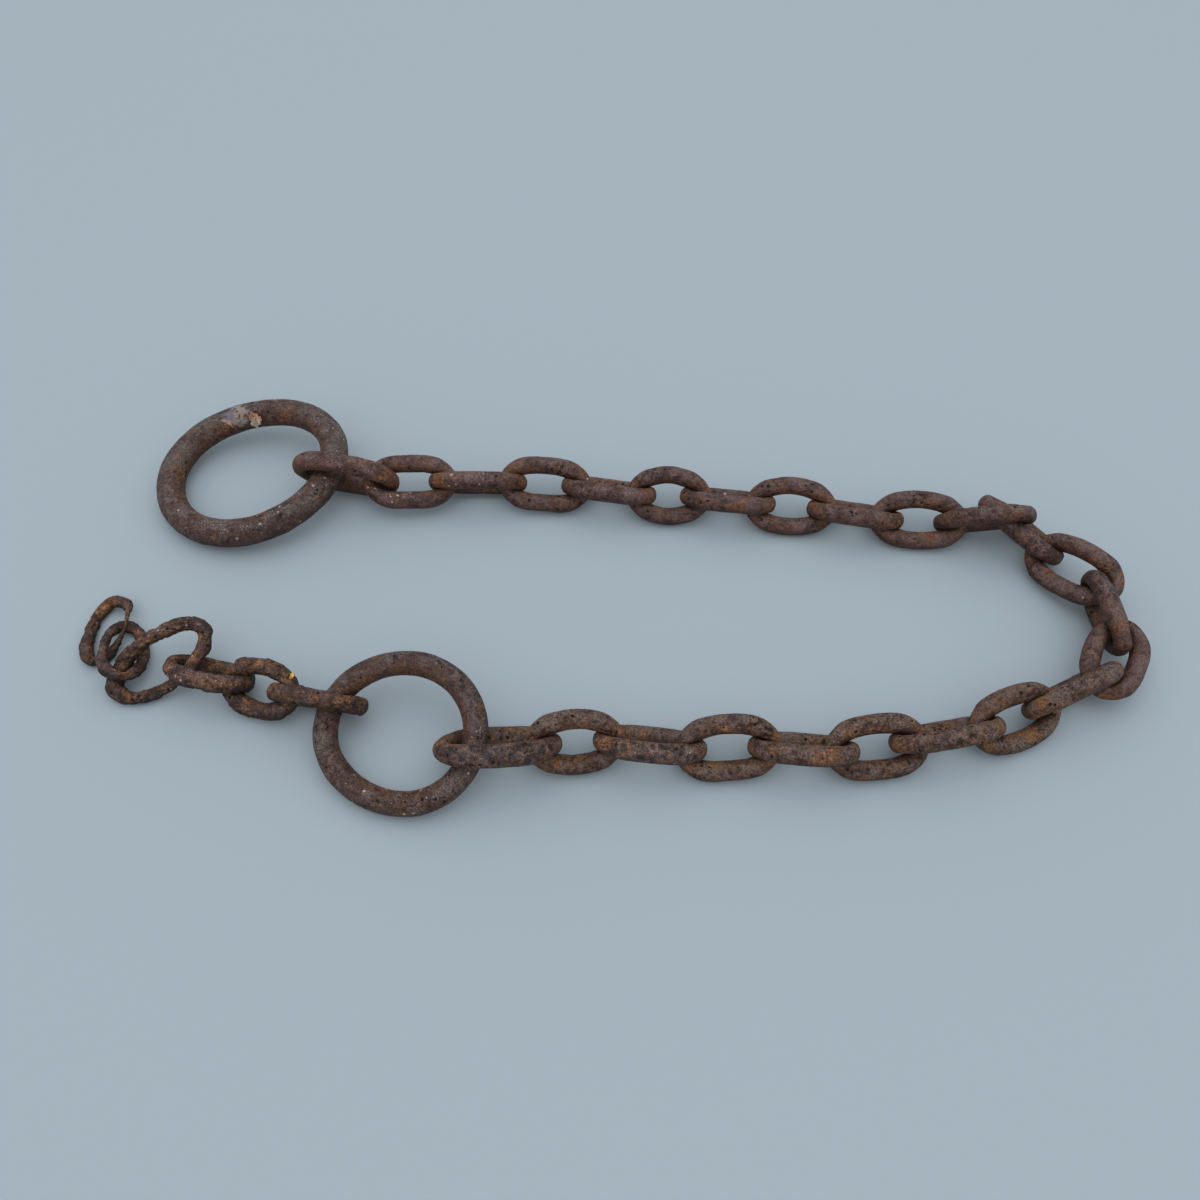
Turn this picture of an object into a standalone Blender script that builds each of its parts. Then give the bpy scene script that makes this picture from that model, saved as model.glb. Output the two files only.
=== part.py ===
"""Old forged chain of thirty links and two rings, lying loose in a hairpin.

Every link and ring is one closed solid.  A link is a bar bent into a loop, worn
thin inside its two bows, where the next link has rubbed.  Each is laid down by
hand in LAY, and settle() then lets them all sink onto the ground and onto each
other, so that every link rests where it hooks its neighbour.

Lengths are in metres.  +X runs to the right, +Y away from the front, +Z up.
"""

import math

import bpy
import numpy as np

# ---- driving dimensions ------------------------------------------------------

GAP = 0.00025             # clearance kept wherever two pieces touch
LINK_SIDES = 8            # facets round the bar of a link
RING_SIDES = 10           # facets round the bar of a ring
BOW_STEPS = 6             # segments round each bow of a link
LIMB_SHARES = (0.33, -0.33)     # where the two sections of each limb lie, from its middle to its ends
RING_STATIONS = 32        # sections round a ring
LOOP_STATIONS = 18        # sections round a bent or broken link
CURVE_STEPS = 24          # fine steps from knot to knot of a bent link
FLAT_REACH = 0.0006       # what lies this low is worn flat on the ground
UNEVEN = 0.0005           # how far one forged link differs from the next

# width over all, bar, bar left at the worn bow, how far the middle of a limb stands out from its ends;
# each link has its own length
PLAIN = (0.0302, 0.0092, 0.0059, 0.0008)
STRAIGHT = (0.0284, 0.0092, 0.0059, 0.0002)
OVAL = (0.0304, 0.0092, 0.0059, 0.0013)
LONG = (0.0380, 0.0100, 0.0078, 0.0008)        # joins the large ring
HEAVY = (0.0382, 0.0104, 0.0076, 0.0008)       # joins the small ring
THIN = (0.0314, 0.0084, 0.0060, 0.0008)        # leaves the small ring
SCALED = (0.0282, 0.0084, 0.0060, 0.0008)      # eaten by rust

LARGE_RING_BAR = 0.0142
LARGE_RING_RADIUS = 0.0419          # to the middle of the bar
SMALL_RING_BAR = 0.0111
SMALL_RING_RADIUS = 0.0329
# both rings are beaten out of round: waves per turn, their height, and where they peak in degrees
LARGE_RING_WAVES = ((2, 0.0022, 18.0), (3, 0.0005, 33.0))
SMALL_RING_WAVES = ((2, 0.0018, 150.0), (3, 0.0005, 48.0))

# the last three links are pulled out of shape: x, y, height, thickness of the bar, in mm
OPEN_LOOP = (
    (-20, -13.5, -5.5, 9.0), (-20.5, -7.5, -5.5, 8.2), (-16.5, 1, -3.5, 7.4), (-9, 7, 2.5, 6.6),
    (0, 12, 5.5, 6.8), (11, 17.5, 6.5, 6.8), (18.5, 16, 4.5, 7.2), (19.5, 9, 2.5, 7.6),
    (15.5, -1.5, 1.5, 6.4), (8.5, -9, -2.5, 5.2), (-3, -15, -5.5, 5.0), (-11.5, -17, -5.5, 5.4),
)
LIFTED_LOOP = (
    (-6.5, -8, 3.5, 4.6), (-9.5, 4, -0.5, 4.2), (-9, 14, -4.5, 5.2), (-4, 17.5, -5.5, 5.8),
    (2, 14, -4.5, 5.0), (7.5, 4.5, -3.5, 4.6), (10.5, -6.5, 0.5, 4.8), (8.5, -15, 4.5, 4.6),
    (3.5, -16.5, 5.5, 5.0), (-3, -14, 5.5, 5.6),
)
WASTED_LOOP = (
    (-7.5, -13.5, -3, 6.2), (-8.5, -4, -2, 5.2), (-7.5, 5, -1, 5.2), (-4.5, 13.5, 0, 5.8),
    (0, 17, 2, 6.2), (8, 13, 4, 4.8), (9.5, 5, 5, 2.8), (9, -2.5, 3, 1.6),
    (5.5, -8, -1, 3.4), (2, -13, -3, 4.2), (-2.5, -18, -3, 4.8),
)

# name, shape, length, x, y, height of the middle (mm), heading, roll, nose (degrees)
# roll raises the left side of a link that points along its heading; nose its front
LAY = (
    ("ring_large", "large ring", 0, -183, 75.25, 13.25, -3.5, 4, 6.5),
    ("link_01", LONG, 57.5, -132.75, 66.75, 17.75, -11.5, -64, 1),
    ("link_02", STRAIGHT, 49.5, -97, 65, 15.25, 7, 33.5, -4),
    ("link_03", PLAIN, 52, -61.75, 66.5, 13.25, -1, -53.5, -1),
    ("link_04", STRAIGHT, 49.5, -26, 65.5, 12, -2.5, 42, -5.5),
    ("link_05", PLAIN, 51, 6.5, 62.5, 11.25, -13.5, -33.5, 3),
    ("link_06", OVAL, 45, 35.5, 58.25, 11.75, -3.5, 42, 0.5),
    ("link_07", PLAIN, 50.5, 65.75, 55.5, 11.5, -7, -40, -0.5),
    ("link_08", OVAL, 48, 97.5, 51, 11.75, -4.5, 43.5, 0),
    ("link_09", PLAIN, 51, 130, 46.25, 11.5, -10.5, -40, -1),
    ("link_10", OVAL, 50.5, 161.5, 42, 11.5, -6, 39.5, 1.5),
    ("link_11", PLAIN, 50.5, 191.75, 38.75, 17.25, -10.5, -56, 23),
    ("link_12", PLAIN, 51.5, 211.25, 34.5, 12.5, -48, -38, -9),
    ("link_13", PLAIN, 51.5, 230.75, 9, 14.25, -51, 34.5, 14),
    ("link_14", PLAIN, 50, 239, -18.75, 15.75, -88, -79, 7),
    ("link_15", PLAIN, 46, 236, -44.5, 14.75, -124, -9.5, -2),
    ("link_16", PLAIN, 55, 212.5, -60.75, 14.5, 27, -67.5, 0.5),
    ("link_17", PLAIN, 47.5, 184.5, -74, 12, 21.5, 41.5, 1),
    ("link_18", PLAIN, 54.5, 152, -83.25, 13.5, 11.5, -54, 0),
    ("link_19", PLAIN, 49, 121.25, -88.25, 11.75, 7.5, 37, -1),
    ("link_20", PLAIN, 49.5, 88.75, -89.75, 12.5, -4, -47, 0),
    ("link_21", PLAIN, 49.5, 56, -88.5, 11.75, 3, 40.5, 3.5),
    ("link_22", PLAIN, 51.5, 22.5, -87.25, 11.75, -5, -41.5, -3),
    ("link_23", PLAIN, 46, -10.75, -86.75, 13.25, 4.5, 55, 0.5),
    ("link_24", HEAVY, 57, -44, -90.5, 15.75, 7.5, -44, -5),
    ("ring_small", "small ring", 0, -86.75, -82.5, 14.75, 5, 14.5, 9),
    ("link_25", THIN, 47, -126.25, -65.25, 14.5, -10.5, -59.5, 0.5),
    ("link_26", SCALED, 41, -154.25, -58, 11.75, -17, 43.5, 6.5),
    ("link_27", SCALED, 44, -180.75, -49.5, 10.5, -13.5, -35.5, -1),
    ("link_28", OPEN_LOOP, 0, -203.75, -43.25, 11.5, -1, 12.5, -4),
    ("link_29", LIFTED_LOOP, 0, -224, -34.75, 7.5, -8, -0.5, -12.5),
    ("link_30", WASTED_LOOP, 0, -235.75, -20.75, 4.25, 6, -6.5, -4),
)

MM = 0.001
RING_SIZES = {"large ring": (LARGE_RING_RADIUS, LARGE_RING_BAR, LARGE_RING_WAVES),
              "small ring": (SMALL_RING_RADIUS, SMALL_RING_BAR, SMALL_RING_WAVES)}

# how the pieces sink into place, per round of settle()
ROUNDS = 220
QUIET_ROUNDS = 150        # last rounds, in which nothing sinks and only clearance is kept
SINK = 0.00003            # how far a piece drops in one round
HOLD_PLACE = 0.05         # how strongly a piece keeps its place in plan
HOLD_TURN = 0.05          # and its heading, roll and nose
RING_HOLD = 0.02          # the heavy rings give way more and lean on what they lie on
CONTACT_PASSES = 2        # how often each round looks at every contact
REACH_ALONG = 3           # a piece can touch this many pieces on along the chain
CHORD_BEADS = 4           # touch points along each straight run between sections

# colours of the rust, as linear red, green and blue
RING_RUST = (0.083, 0.056, 0.048)
LINK_RUST = (0.088, 0.058, 0.048)
FLAKY_RUST = (0.072, 0.046, 0.040)
FLAKY_SHAPES = (THIN, SCALED, OPEN_LOOP, LIFTED_LOOP, WASTED_LOOP)
ROUGHNESS = 0.7
METALLIC = 0.15
SMOOTH_BELOW = 50.0       # facets that meet at less than this angle, in degrees, shade smoothly


# ---- centre lines: rows of x, y, z, radius of the bar ------------------------

def forged_link(length, width, bar, worn, swell, seed):
    """A link bent from one bar: two swelling limbs and two bows that are worn inside."""
    uneven = np.random.RandomState(seed).uniform(-UNEVEN, UNEVEN, 6)
    wear = (bar - worn) / 2
    arc = (width - bar) / 2 - swell
    limb = length / 2 - bar / 2 - arc
    rows = []
    for end, skew, lift, bulge in ((1, *uneven[:3]), (-1, *uneven[3:])):
        for step in range(BOW_STEPS + 1):
            turn = math.pi * (step / BOW_STEPS - 0.5)
            depth = math.cos(turn) ** 4
            x = limb + (arc + wear * depth) * math.cos(turn) + skew * depth
            rows.append((end * x, end * arc * math.sin(turn), lift * depth, bar / 2 - wear * depth))
        for share in LIMB_SHARES:
            out = arc + (swell + bulge) * (1 - share ** 2)
            rows.append((end * share * limb, end * out, 0.0, bar / 2))
    return np.array(rows)


def forged_ring(radius, bar, waves):
    """A ring of round bar, out of round by the waves given."""
    rows = []
    for step in range(RING_STATIONS):
        turn = 2 * math.pi * step / RING_STATIONS
        reach = radius
        for count, height, peak in waves:
            reach += height * math.cos(count * (turn - math.radians(peak)))
        rows.append((reach * math.cos(turn), reach * math.sin(turn), 0.0, bar / 2))
    return np.array(rows)


def smooth_loop(knots, count):
    """A closed smooth curve through the knots, in equal steps along its length."""
    knots = np.array(knots)
    fine = []
    for a, b, c, d in zip(np.roll(knots, 1, 0), knots, np.roll(knots, -1, 0), np.roll(knots, -2, 0)):
        for t in np.arange(CURVE_STEPS) / CURVE_STEPS:
            fine.append(0.5 * (2 * b + (c - a) * t + (2 * a - 5 * b + 4 * c - d) * t ** 2
                               + (3 * b - a - 3 * c + d) * t ** 3))
    fine = np.array(fine + fine[:1])
    run = np.append(0, np.cumsum(np.linalg.norm(np.diff(fine[:, :3], axis=0), axis=1)))
    where = run[-1] * np.arange(count) / count
    return np.stack([np.interp(where, run, fine[:, k]) for k in range(4)], 1)


def bent_loop(knots):
    """A link that has been pulled, bent or eaten away, through hand-set knots."""
    rows = smooth_loop(knots, LOOP_STATIONS) * MM
    rows[:, 3] /= 2
    return rows


def centre_line(shape, length, seed):
    """The centre line of a piece about its own middle."""
    if shape in RING_SIZES:
        return forged_ring(*RING_SIZES[shape])
    if length:
        return forged_link(length * MM, *shape, seed)
    return bent_loop(shape)


# ---- how a piece lies --------------------------------------------------------

def turn_about(axis, angle):
    """The matrix that turns by angle about a unit axis."""
    x, y, z = axis
    cross = np.array([[0, -z, y], [z, 0, -x], [-y, x, 0]])
    return np.eye(3) + math.sin(angle) * cross + (1 - math.cos(angle)) * cross @ cross


def lie(heading, roll, nose):
    """The turn of a piece that lies flat at first and points along +X."""
    turned = turn_about((0, 0, 1), math.radians(heading))
    raised = turn_about((0, 1, 0), -math.radians(nose))
    rolled = turn_about((1, 0, 0), math.radians(roll))
    return turned @ raised @ rolled


class Piece:
    """One link or ring: its centre line, and where and how it lies."""

    def __init__(self, seed, name, shape, length, x, y, z, heading, roll, nose):
        self.name = name
        self.ring = shape in RING_SIZES
        self.rust = RING_RUST if self.ring else FLAKY_RUST if shape in FLAKY_SHAPES else LINK_RUST
        self.sides = RING_SIDES if self.ring else LINK_SIDES
        line = centre_line(shape, length, seed)
        line[:, :3] -= line[:, :3].mean(0)
        # a facetted bar of this radius has the section of the round one
        round_to_facets = math.sqrt(2 * math.pi / (self.sides * math.sin(2 * math.pi / self.sides)))
        line[:, 3] *= round_to_facets
        self.line = line
        share = np.arange(CHORD_BEADS)[None, :, None] / CHORD_BEADS
        beads = (line[:, None, :] * (1 - share) + np.roll(line, -1, 0)[:, None, :] * share).reshape(-1, 4)
        self.beads = beads[:, :3]
        self.radii = beads[:, 3]
        self.reach = float(np.max(np.linalg.norm(self.beads, axis=1) + self.radii))
        self.mass = float(np.sum(self.radii ** 2))
        self.swing = self.mass * float(np.mean(np.sum(self.beads ** 2, 1)))
        self.place = np.array((x, y, z)) * MM
        self.goal = self.place.copy()
        self.turn = lie(heading, roll, nose)
        self.goal_turn = self.turn.copy()

    def world_beads(self):
        return self.beads @ self.turn.T + self.place

    def shift(self, move, about):
        """Move by a vector and turn by a small rotation vector."""
        self.place = self.place + move
        angle = float(np.linalg.norm(about))
        if angle > 1e-12:
            self.turn = turn_about(about / angle, angle) @ self.turn

    def push(self, point, direction, share):
        """Take an impulse at a point, as a free body does."""
        arm = np.cross(point - self.place, direction)
        self.shift(direction * share / self.mass, arm * share / self.swing)

    def give(self, point, direction):
        """How easily a point of this piece yields along a direction."""
        arm = np.cross(point - self.place, direction)
        return 1 / self.mass + float(arm @ arm) / self.swing


def keep_apart(one, other):
    """Push two pieces apart where they are nearer than the clearance."""
    if np.linalg.norm(one.place - other.place) > one.reach + other.reach:
        return
    ours, theirs = one.world_beads(), other.world_beads()
    apart = np.linalg.norm(ours[:, None] - theirs[None], axis=2)
    clear = apart - one.radii[:, None] - other.radii[None]
    i, j = np.unravel_index(int(np.argmin(clear)), clear.shape)
    short = GAP - clear[i, j]
    if short <= 0:
        return
    direction = (ours[i] - theirs[j]) / apart[i, j]
    touch = theirs[j] + direction * other.radii[j]
    share = short / (one.give(touch, direction) + other.give(touch, direction))
    one.push(touch, direction, share)
    other.push(touch, -direction, share)


def keep_above_ground(piece):
    """Lift a piece where it reaches below the ground."""
    beads = piece.world_beads()
    low = beads[:, 2] - piece.radii
    i = int(np.argmin(low))
    if low[i] >= 0:
        return
    up = np.array((0.0, 0.0, 1.0))
    point = beads[i] - up * piece.radii[i]
    piece.push(point, up, -low[i] / piece.give(point, up))


def sink(piece):
    """Let a piece drop a little, and draw it back to where and how it was laid."""
    pull = (piece.goal - piece.place) * HOLD_PLACE
    pull[2] = -SINK
    hold = RING_HOLD if piece.ring else HOLD_TURN
    off = piece.goal_turn @ piece.turn.T
    about = 0.5 * np.array((off[2, 1] - off[1, 2], off[0, 2] - off[2, 0], off[1, 0] - off[0, 1]))
    piece.shift(pull, about * hold)


def settle(pieces):
    """Let the pieces sink onto the ground and onto each other."""
    pairs = [(a, b) for i, a in enumerate(pieces) for b in pieces[i + 1:i + 1 + REACH_ALONG]]
    for count in range(ROUNDS + QUIET_ROUNDS):
        if count < ROUNDS:
            for piece in pieces:
                sink(piece)
        for _ in range(CONTACT_PASSES):
            for one, other in pairs:
                keep_apart(one, other)
            for piece in pieces:
                keep_above_ground(piece)
                keep_above_ground(piece)


# ---- solids ------------------------------------------------------------------

def skin(piece):
    """Points and faces of the closed facetted bar of one piece, as it lies."""
    line = piece.line
    count = len(line)
    forward = np.roll(line[:, :3], -1, 0) - np.roll(line[:, :3], 1, 0)
    forward /= np.linalg.norm(forward, axis=1)[:, None]
    up = np.array((0.0, 0.0, 1.0))
    side = np.cross(up, forward)
    side /= np.linalg.norm(side, axis=1)[:, None]
    up = np.cross(forward, side)
    points = []
    for i in range(count):
        for j in range(piece.sides):
            angle = 2 * math.pi * (j + 0.5) / piece.sides
            spoke = side[i] * math.cos(angle) + up[i] * math.sin(angle)
            points.append(line[i, :3] + spoke * line[i, 3])
    points = np.array(points) @ piece.turn.T + piece.place
    points[points[:, 2] < FLAT_REACH, 2] = 0.0
    faces = []
    for i in range(count):
        for j in range(piece.sides):
            a = i * piece.sides + j
            b = i * piece.sides + (j + 1) % piece.sides
            shift = ((i + 1) % count - i) * piece.sides
            faces.append((a, b, b + shift, a + shift))
    return points, faces


def rusted_iron(name, colour):
    """A plain rust material."""
    material = bpy.data.materials.new(name)
    material.use_nodes = True
    shader = material.node_tree.nodes["Principled BSDF"]
    shader.inputs["Base Color"].default_value = (*colour, 1.0)
    shader.inputs["Roughness"].default_value = ROUGHNESS
    shader.inputs["Metallic"].default_value = METALLIC
    return material


def add_solid(name, points, faces, material):
    """One named object with the given faces."""
    mesh = bpy.data.meshes.new(name)
    mesh.from_pydata([tuple(p) for p in points], [], faces)
    mesh.materials.append(material)
    mesh.shade_smooth()
    mesh.set_sharp_from_angle(angle=math.radians(SMOOTH_BELOW))
    mesh.update()
    solid = bpy.data.objects.new(name, mesh)
    bpy.context.scene.collection.objects.link(solid)
    return solid


def main():
    for old in list(bpy.data.objects):
        bpy.data.objects.remove(old, do_unlink=True)
    pieces = [Piece(seed, *row) for seed, row in enumerate(LAY)]
    settle(pieces)
    skins = [skin(piece) for piece in pieces]
    every = np.concatenate([points for points, _ in skins])
    middle = (every.min(0) + every.max(0)) / 2
    middle[2] = 0.0
    for piece, (points, faces) in zip(pieces, skins):
        add_solid(piece.name, points - middle, faces, rusted_iron(piece.name + "_rust", piece.rust))


main()
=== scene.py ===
"""Looks of an old forged chain that lies loose in a hairpin: thirty links and two rings.

Every link and ring is rebuilt as a smooth, pitted and flaking bar along the centre line
of its solid, and gets rust that is worked out from the same pits, hollows and flakes.
Lengths are in metres.  +X runs to the right, +Y away from the front, +Z up.
"""

import math

import bpy
import numpy as np
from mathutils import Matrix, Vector


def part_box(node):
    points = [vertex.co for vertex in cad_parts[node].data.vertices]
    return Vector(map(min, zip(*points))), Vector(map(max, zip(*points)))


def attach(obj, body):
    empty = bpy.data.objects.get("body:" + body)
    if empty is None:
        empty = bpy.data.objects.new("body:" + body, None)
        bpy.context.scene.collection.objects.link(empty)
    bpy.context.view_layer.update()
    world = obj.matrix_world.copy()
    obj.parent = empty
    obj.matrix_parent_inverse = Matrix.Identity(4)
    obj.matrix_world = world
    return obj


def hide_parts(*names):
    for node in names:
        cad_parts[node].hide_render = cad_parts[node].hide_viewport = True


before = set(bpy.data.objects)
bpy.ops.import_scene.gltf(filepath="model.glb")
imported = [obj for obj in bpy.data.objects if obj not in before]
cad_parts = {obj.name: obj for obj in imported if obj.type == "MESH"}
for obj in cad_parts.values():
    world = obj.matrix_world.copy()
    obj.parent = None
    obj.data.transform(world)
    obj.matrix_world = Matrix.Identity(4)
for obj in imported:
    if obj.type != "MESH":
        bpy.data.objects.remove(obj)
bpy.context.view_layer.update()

# ---- the camera and the ground ------------------------------------------------

CAMERA_PLACE = (-0.00414, -0.32630, 0.440)
CAMERA_DOWN = 53.52             # how far below the horizon it looks, in degrees
CAMERA_LENS = 33.3              # mm
CAMERA_SENSOR = 36.0            # mm
CAMERA_NEAR = 0.01              # nothing nearer is drawn
GROUND_COLOUR = (0.341, 0.397, 0.442)
GROUND_SIZE = 6.0
SKY_AT_HORIZON = 0.46           # an overcast sky is darker low down
SKY_OVERHEAD = 1.42
SKY_COLOUR = (0.95, 0.98, 1.0, 1.0)
LAMP_PLACE = (0.1, 0.0, 1.7)
LAMP_SIZE = 1.7
LAMP_POWER = 2.4                # W

# ---- the bars -----------------------------------------------------------------

MICRONS = 1e6                   # corners that agree to a micron are one corner
SLICES = 120                    # sections that find the centre line of a solid
LINE_POINTS = 160               # points kept along a centre line
LINE_SOFTNESS = 0.0016          # how far along the line its corners are eased
STATION_STEP = 0.00056          # size of the mesh along a bar
SIDE_STEP = 0.00056             # and round it
THICK_PERCENTILE = 75           # the radius of an unworn limb, among all those of its bar
BOW_HALF_HEIGHT = 0.0042        # a worn bow stays this thick across its link, to each side
LIMB_TALL = 0.98                # a limb is worn a little, to the side and on top
LIMB_WIDE = 0.97
SEED_STEP = (0.171, 0.0713, 0.119)   # from the relief of one piece to that of the next
NEAR_GROUND = 0.00002           # nothing reaches lower

LUMP_SIZE = 0.013               # the smith's hammer marks
ZONE_SIZE = 0.011               # where rust has pitted the bar, and its holes there
HOLE_SIZE = 0.0024
DOT_SPACING = 0.0031            # small black pits: how far apart, in how many of these places, how wide
DOT_SHARE = 0.60
DOT_WIDTH = 0.0017
DOT_RIPPLE = 0.0004
CLUSTER_SIZE = 0.017
TERRACE_SIZE = 0.0085           # rust that comes off in layers
TERRACES = 7.0
STRAND_SIZE = 0.28              # strands of the iron, in radii of the bar
STRAND_RUN = 9.0                # half a bar is this long in their noise, so they are drawn out
STRAND_SEED = 40.0
GRAIN_SIZE = 0.0011             # a fine crust, and a coarser one
COARSE_SIZE = 0.0030
CHIP_SIZE = 0.0068              # where rust has split the iron into chips and flakes
SPLINTER_SIZE = 0.0026
RIPPLE_SIZE = 0.0016            # the raggedness of all small spots
RIPPLE_REACH = 0.0010
MARK_EDGE_SIZE = 0.006          # the raggedness of scabs and flecks that lie on one side
PALE_HEIGHT = 0.00045           # the pale crust on the large ring, and its ragged edge
PALE_SLOPE = 0.0004
PALE_EDGE_SIZE = 0.0050
PALE_EDGE_REACH = 0.012

SCRAP_WALL = 0.0003             # a dry leaf
SCRAP_RINGS = 7
SCRAP_SPOKES = 28

# ---- the rust -----------------------------------------------------------------

BROAD_SIZE = 0.016              # blotches of four sizes
MEDIUM_SIZE = 0.0052
SMALL_SIZE = 0.0019
FINE_SIZE = 0.0007
PATCH_SIZE = 0.0085             # orange patches, and bright spots in them
BRIGHT_SIZE = 0.0026
CRACK_SIZE = 0.0060             # cracks, and the zones that have them
CRACK_ZONE_SIZE = 0.012
SCAB_SIZE = 0.0042
FLECK_SPACING = 0.0030          # pale flecks on one side: how far apart, in how many places, how wide
FLECK_SHARE = 0.40
FLECK_WIDTH = 0.0013
FLECK_RIPPLE = 0.0007
STRAY_SPACING = 0.0080          # and stray ones everywhere
STRAY_SHARE = 0.12
STRAY_WIDTH = 0.0016
STRAY_SEED = (0.37, 0.11, 0.23)
PALE_HOLE_SIZE = 0.0034         # holes and tones of the pale crust
PALE_TONE_SIZE = 0.0060
SHELTER_REACH = 0.014           # how near a neighbour has to be to shelter a place
BUMP_DEPTH = 0.0008
RUST_SPECULAR = 0.36
SCAB_DARK = (0.007, 0.004, 0.005)
SCAB_LIGHT = (0.044, 0.030, 0.034)
# painted highlight: the pale grey of glints on upward-facing grains
GLINT = (0.200, 0.165, 0.155)
FLECK = (0.36, 0.31, 0.27)
PALE_LILAC = (0.150, 0.135, 0.180)
PALE_CREAM = (0.270, 0.215, 0.185)
PALE_WHITE = (0.40, 0.34, 0.31)

# ---- which piece is which ------------------------------------------------------

RINGS = ("ring_large", "ring_small")
TAIL = ("link_25", "link_26", "link_27", "link_28", "link_29", "link_30")
LAST_LINKS = ("link_28", "link_29", "link_30")
FIRST_LOWER_LINK = "link_16"


# ---- small helpers for node trees ----------------------------------------------

class Tree:
    """A node tree that is written as sums of sockets."""

    def __init__(self, tree):
        self.tree = tree

    def add(self, kind, inputs=(), **settings):
        node = self.tree.nodes.new(kind)
        for key, value in settings.items():
            setattr(node, key, value)
        for key, value in dict(inputs).items():
            self.put(node.inputs[key], value)
        return node

    def put(self, socket, value):
        if isinstance(value, bpy.types.NodeSocket):
            self.tree.links.new(value, socket)
        else:
            socket.default_value = value

    def math(self, operation, *values):
        node = self.add("ShaderNodeMath", operation=operation)
        for socket, value in zip(node.inputs, values):
            self.put(socket, value)
        return node.outputs[0]

    def vector(self, operation, *values, scale=None):
        node = self.add("ShaderNodeVectorMath", operation=operation)
        for socket, value in zip(node.inputs, values):
            self.put(socket, value)
        if scale is not None:
            self.put(node.inputs["Scale"], scale)
        return node.outputs["Value"] if operation in ("DOT_PRODUCT", "LENGTH") else node.outputs[0]

    def times(self, a, b):
        return self.math("MULTIPLY", a, b)

    def plus(self, a, b):
        return self.math("ADD", a, b)

    def minus(self, a, b):
        return self.math("SUBTRACT", a, b)

    def larger(self, a, b):
        return self.math("MAXIMUM", a, b)

    def ramp(self, value, low, high, to_low=0.0, to_high=1.0):
        """A soft step from to_low to to_high while the value goes from low to high."""
        inputs = {"Value": value, "From Min": low, "From Max": high, "To Min": to_low, "To Max": to_high}
        return self.add("ShaderNodeMapRange", inputs, interpolation_type="SMOOTHSTEP").outputs[0]

    def noise(self, where, size, detail=2.0, roughness=0.5, distortion=0.0):
        """Soft noise about 0.5 whose blotches are of the given size in metres."""
        inputs = {"Vector": where, "Scale": 1 / size, "Detail": detail,
                  "Roughness": roughness, "Distortion": distortion}
        return self.add("ShaderNodeTexNoise", inputs).outputs[0]

    def sway(self, where, size, detail=2.0, roughness=0.5, distortion=0.0):
        """The same noise, about 0."""
        return self.minus(self.noise(where, size, detail, roughness, distortion), 0.5)

    def edges(self, where, size):
        """How far a place is from the edge of its cell, for ragged cells of the given size."""
        inputs = {"Vector": where, "Scale": 1 / size}
        return self.add("ShaderNodeTexVoronoi", inputs, feature="DISTANCE_TO_EDGE").outputs["Distance"]

    def spots(self, where, size, share, widest):
        """Round spots of uneven width, up to the widest, in a share of cells of the given size."""
        cells = self.add("ShaderNodeTexVoronoi", {"Vector": where, "Scale": 1 / size}, feature="F1").outputs
        chance = self.add("ShaderNodeSeparateXYZ", {"Vector": cells["Color"]}).outputs
        width = self.ramp(chance[1], 0.0, 1.0, 0.2 * widest / size, 0.5 * widest / size)
        taken = self.math("LESS_THAN", chance[0], share)
        reach = self.minus(self.times(taken, self.plus(width, 0.1)), 0.1)
        return self.ramp(self.minus(cells["Distance"], reach), 0.04, -0.04)

    def mix(self, share, a, b):
        node = self.add("ShaderNodeMix", data_type="RGBA")
        colours = [s for s in node.inputs if s.type == "RGBA"]
        self.put(node.inputs[0], share)
        self.put(colours[0], a if isinstance(a, bpy.types.NodeSocket) else (*a, 1.0))
        self.put(colours[1], b if isinstance(b, bpy.types.NodeSocket) else (*b, 1.0))
        return next(s for s in node.outputs if s.type == "RGBA")


# ---- centre lines ----------------------------------------------------------------

def merged(node):
    """Corners and triangles of a solid, with shared corners merged."""
    mesh = node.data
    mesh.calc_loop_triangles()
    corners = np.empty(len(mesh.vertices) * 3)
    mesh.vertices.foreach_get("co", corners)
    triangles = np.empty(len(mesh.loop_triangles) * 3, int)
    mesh.loop_triangles.foreach_get("vertices", triangles)
    corners = corners.reshape(-1, 3)
    _, first, back = np.unique(np.round(corners * MICRONS).astype(int), axis=0,
                               return_index=True, return_inverse=True)
    return corners[first], back.reshape(-1)[triangles].reshape(-1, 3)


def section(corners, triangles, middle, outward, across, normal):
    """Area and centre of the cut of a half plane that starts at the middle."""
    height = (corners - middle) @ across
    side = height[triangles] >= 0
    cut = side.any(1) & ~side.all(1)
    area = 0.0
    centre = np.zeros(2)
    for triangle, above in zip(triangles[cut], side[cut]):
        ends = []
        for k in range(3):
            a, b = triangle[k], triangle[(k + 1) % 3]
            if above[k] != above[(k + 1) % 3]:
                share = height[a] / (height[a] - height[b])
                point = corners[a] + (corners[b] - corners[a]) * share - middle
                ends.append((above[k], point @ outward, point @ normal))
        ends.sort(key=lambda end: not end[0])
        (_, u, v), (_, s, t) = ends
        if u + s > 0:
            cross = u * t - s * v
            area += cross / 2
            centre += np.array((u + s, v + t)) * cross / 6
    return abs(area), centre / area


def smoothed(rows, softness):
    """A closed line in equal steps, with its corners eased."""
    closed = np.vstack([rows, rows[:1]])
    run = np.append(0, np.cumsum(np.linalg.norm(np.diff(closed[:, :3], axis=0), axis=1)))
    where = run[-1] * np.arange(LINE_POINTS) / LINE_POINTS
    even = np.stack([np.interp(where, run, closed[:, k]) for k in range(rows.shape[1])], 1)
    step = run[-1] / LINE_POINTS
    reach = int(3 * softness / step)
    weights = np.exp(-0.5 * (np.arange(-reach, reach + 1) * step / softness) ** 2)
    weights /= weights.sum()
    return sum(w * np.roll(even, k, 0) for w, k in zip(weights, range(-reach, reach + 1)))


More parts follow.
